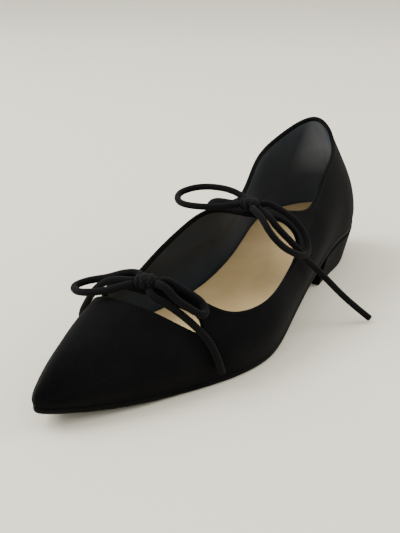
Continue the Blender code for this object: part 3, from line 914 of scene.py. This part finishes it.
def roll_points(points, normal):
    """Full ellipse carried along a closed line: its width lies in the surface, away from the hole, and
    its thickness along the normal, centred in the wall."""
    tangent = np.roll(points, -1, 0) - np.roll(points, 1, 0)
    inland = unit(np.cross(normal, tangent))
    turn = np.linspace(0, 2 * np.pi, ROLL_SIDES, endpoint=False)
    wide = np.sign(np.cos(turn)) * np.abs(np.cos(turn)) ** (2 / ROLL_FULL) * ROLL_HALF_WIDTH
    thick = np.sign(np.sin(turn)) * np.abs(np.sin(turn)) ** (2 / ROLL_FULL) * ROLL_HALF_THICK
    wide = wide + ROLL_HALF_WIDTH - ROLL_OUT
    thick = thick - WALL / 2
    return points[:, None] + inland[:, None] * wide[:, None] + normal[:, None] * thick[:, None]


for name, (points, normal) in {
        "collar_roll": collar_line(),
        "opening_roll": opening_line(MAIN_OPENING),
        "keyhole_roll": opening_line(KEYHOLE)}.items():
    ring = roll_points(points, normal) - BOX_MIDDLE
    make_piece(name, ring, grid_quads(*ring.shape[:2], ring=True, loop=True), suede)

# %% [markdown]
# ## Insole, sole and heel
# All three follow the feather line in plan, moved inwards or outwards. For insole and sole, a section with
# rounded corners is set up at every station. The heel is built from outlines that shrink downwards.

# %% Outline in plan
PLAN_STEPS = 160


def plan_sides(offset):
    """Outer and inner feather line in plan, moved outwards square to the line by offset."""
    along = crowd_ends(PLAN_STEPS)
    outer = last_point(along, 1.0)[:, :2]
    inner = last_point(along, -1.0)[:, :2]
    ring = np.concatenate([outer, inner[-2:0:-1]])
    tangent = np.roll(ring, -1, 0) - np.roll(ring, 1, 0)
    square = np.stack([-tangent[:, 1], tangent[:, 0]], -1)
    ring = ring + offset * unit(square)
    count = len(outer)
    return along, ring[:count], np.concatenate([ring[:1], ring[:count - 1:-1], ring[count - 1:count]])


# %% Insole
INSOLE_IN = WALL + 2 * GAP
INSOLE_ROUND = 1.0 * MM     # round of its upper edge
INSOLE_CROWN = 0.4 * MM     # padding
HEEL_DISH = 0.5 * MM        # hollow under the heel
DISH_PLACE = 0.09           # its middle, share of LENGTH
DISH_LENGTH = 0.07          # its half length, share of LENGTH
DISH_WIDTH = 0.7            # its half width, share of the insole's
INSOLE_ACROSS = 40


def insole_points():
    """Top: flat across, crowned by padding, hollowed under the heel, with a round edge. Below: flat."""
    along, outer, inner = plan_sides(-INSOLE_IN)
    u = np.sin(np.linspace(-np.pi / 2, np.pi / 2, INSOLE_ACROSS + 1))
    ring = np.concatenate([u, u[::-1]])
    top = np.concatenate([np.ones_like(u), np.zeros_like(u)])
    half = np.linalg.norm(outer - inner, axis=1)[:, None] / 2
    edge = np.clip(INSOLE_ROUND - (1 - np.abs(ring)) * half, 0, INSOLE_ROUND)
    rounding = INSOLE_ROUND - np.sqrt(INSOLE_ROUND ** 2 - edge ** 2)
    from_dish = (along[:, None] - DISH_PLACE) / DISH_LENGTH
    dish = HEEL_DISH * np.exp(-from_dish ** 2 - (ring / DISH_WIDTH) ** 2)
    lift = top * (INSOLE + INSOLE_CROWN * (1 - ring ** 2) - dish - rounding)
    plan = (outer + inner)[:, None] / 2 + ring[:, None] * (outer - inner)[:, None] / 2
    height = feather_height(along)[:, None] + lift
    return np.concatenate([plan, height[..., None]], -1) - BOX_MIDDLE


points = insole_points()
insole = make_piece(
    "insole_cover", points, grid_quads(*points.shape[:2], ring=True), insole_leather)
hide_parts("insole")

# %% Sole
# Columns: offset from the feather line and height over it, in mm, down the sole's edge
SOLE_EDGE = (
    (-2.0, -0.1), (-0.25, -0.1), (0.0, -0.2), (0.1, -0.6), (0.1, -1.2),
    (-0.05, -1.8), (-0.35, -2.35), (-0.8, -2.75), (-1.4, -2.95), (-2.2, -3.0),
)


def sole_points():
    """The edge's profile down the outer side and up the inner one, at every station."""
    rings = []
    for side, profile in ((1, SOLE_EDGE), (2, SOLE_EDGE[::-1])):
        for offset, height in profile:
            sides = plan_sides(offset * MM)
            rings.append(np.column_stack([sides[side], feather_height(sides[0]) + height * MM]))
    return np.stack(rings, 1) - BOX_MIDDLE


points = sole_points()
sole = make_piece("sole_edge", points, grid_quads(*points.shape[:2], ring=True), edge_leather)
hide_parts("outsole")

# %% Heel block
BREAST = 0.284              # front face of the block, share of LENGTH
HEEL_TUCK = 0.90            # what its foot keeps of the seat's length
HEEL_TAPER = 0.87           # and of the width
HEEL_FOOT_ROUND = 0.5 * MM
HEEL_LEVELS = 14
BREAST_POINTS = 24
BREAST_HOLLOW = 1.2 * MM    # the front face is hollowed by this much


def heel_points():
    """Outline of the seat back to the breast, drawn in towards the floor level by level; the breast is a
    shallow arc. The lowest level is drawn in once more for a round edge."""
    along, outer, inner = plan_sides(0.0)
    keep = along < BREAST
    corners = [(LENGTH * BREAST, np.interp(BREAST, along, line[:, 1])) for line in (outer, inner)]
    sides = [np.vstack([outer[keep], corners[0]]), np.vstack([inner[keep], corners[1]])]
    share = np.linspace(0, 1, BREAST_POINTS + 2)[1:-1, None]
    breast = sides[1][-1] + (sides[0][-1] - sides[1][-1]) * share
    breast[:, 0] -= BREAST_HOLLOW * np.sin(np.pi * share[:, 0])
    plan = np.concatenate([sides[0][::-1], sides[1][1:], breast])
    stations = np.append(along[keep], BREAST)
    top = np.concatenate([stations[::-1], stations[1:], np.full(BREAST_POINTS, BREAST)])
    top = feather_height(top) - SOLE - GAP
    down = np.append(np.linspace(0, 1, HEEL_LEVELS), 1.0)
    lowest = np.append(np.zeros(HEEL_LEVELS), 1.0)
    shrink = 1 - down[:, None] * (1 - np.array((HEEL_TUCK, HEEL_TAPER)))
    pivot = np.array((LENGTH * BREAST, 0.0))
    rings = pivot + (plan[None] - pivot) * shrink[:, None]
    inward = unit(rings.mean(1, keepdims=True) - rings)
    rings = rings + inward * lowest[:, None, None] * HEEL_FOOT_ROUND
    height = top[None] * (1 - down[:, None])
    height = np.where(down[:, None] == 1, HEEL_FOOT_ROUND * (1 - lowest[:, None]), height)
    return np.concatenate([rings, height[..., None]], -1) - BOX_MIDDLE


def make_heel():
    """Levels joined into a wall, with a fan of triangles over the top and under the foot."""
    points = heel_points()
    levels, around = points.shape[:2]
    middle = points.mean(1)
    both = np.concatenate([points.reshape(-1, 3), middle[[0, -1]]])
    ring = np.arange(around)
    beside = (ring + 1) % around
    last = (levels - 1) * around
    wall = split_quads(grid_quads(levels, around, ring=True))
    top = np.stack([np.full(around, levels * around), beside, ring], -1)
    foot = np.stack([np.full(around, levels * around + 1), last + ring, last + beside], -1)
    return make_piece("heel_block", both, np.concatenate([wall, top, foot]), heel_suede)


heel = make_heel()
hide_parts("heel")

# %% [markdown]
# ## Floor and light
# A plain pale floor and soft light from all round, as in a white room by a window. One large lamp over
# the inner side is the window, which gives the suede and the lining their soft direction. Two weak lamps
# stand for the light that comes back from the room in front of the shoe and behind it.

# %% Floor
FLOOR_HALF = 6.0            # m, half of its side

floor_material, _, _, _ = start_material(
    "pale matt floor, painted", Base_Color=hex_colour("f3ecd8"), Roughness=0.7, Specular_IOR_Level=0.2)
floor_mesh = bpy.data.meshes.new("floor")
corners = np.array([(-1, -1, 0), (1, -1, 0), (1, 1, 0), (-1, 1, 0)]) * FLOOR_HALF
floor_mesh.from_pydata(corners.tolist(), [], [(0, 1, 2, 3)])
floor_mesh.materials.append(floor_material)
floor = bpy.data.objects.new("floor", floor_mesh)
bpy.context.scene.collection.objects.link(floor)
print("floor: %.0f m square" % (2 * FLOOR_HALF))

# %% Light
ROOM_COLOUR = hex_colour("f4f4f2")
ROOM_STRENGTH = 1.2
# Name: place, target and side, in m, and power in watts
LAMPS = {
    "window": ((0.5, -1.2, 1.3), (0, 0, 0.03), 1.2, 36.0),
    "room in front": ((1.5, -0.1, 0.95), (-0.09, 0, 0.06), 0.7, 4.0),
    "room behind": ((-1.1, 0.9, 0.9), (-0.06, 0, 0.05), 0.9, 12.0),
}

world = bpy.data.worlds.new("white room")
world.use_nodes = True
background = world.node_tree.nodes["Background"]
background.inputs["Color"].default_value = ROOM_COLOUR
background.inputs["Strength"].default_value = ROOM_STRENGTH
bpy.context.scene.world = world
for name, (place, target, side, power) in LAMPS.items():
    lamp_data = bpy.data.lights.new(name, 'AREA')
    lamp_data.size = side
    lamp_data.energy = power
    add_facing(name, lamp_data, place, target)
print("lamps:", ", ".join(LAMPS))
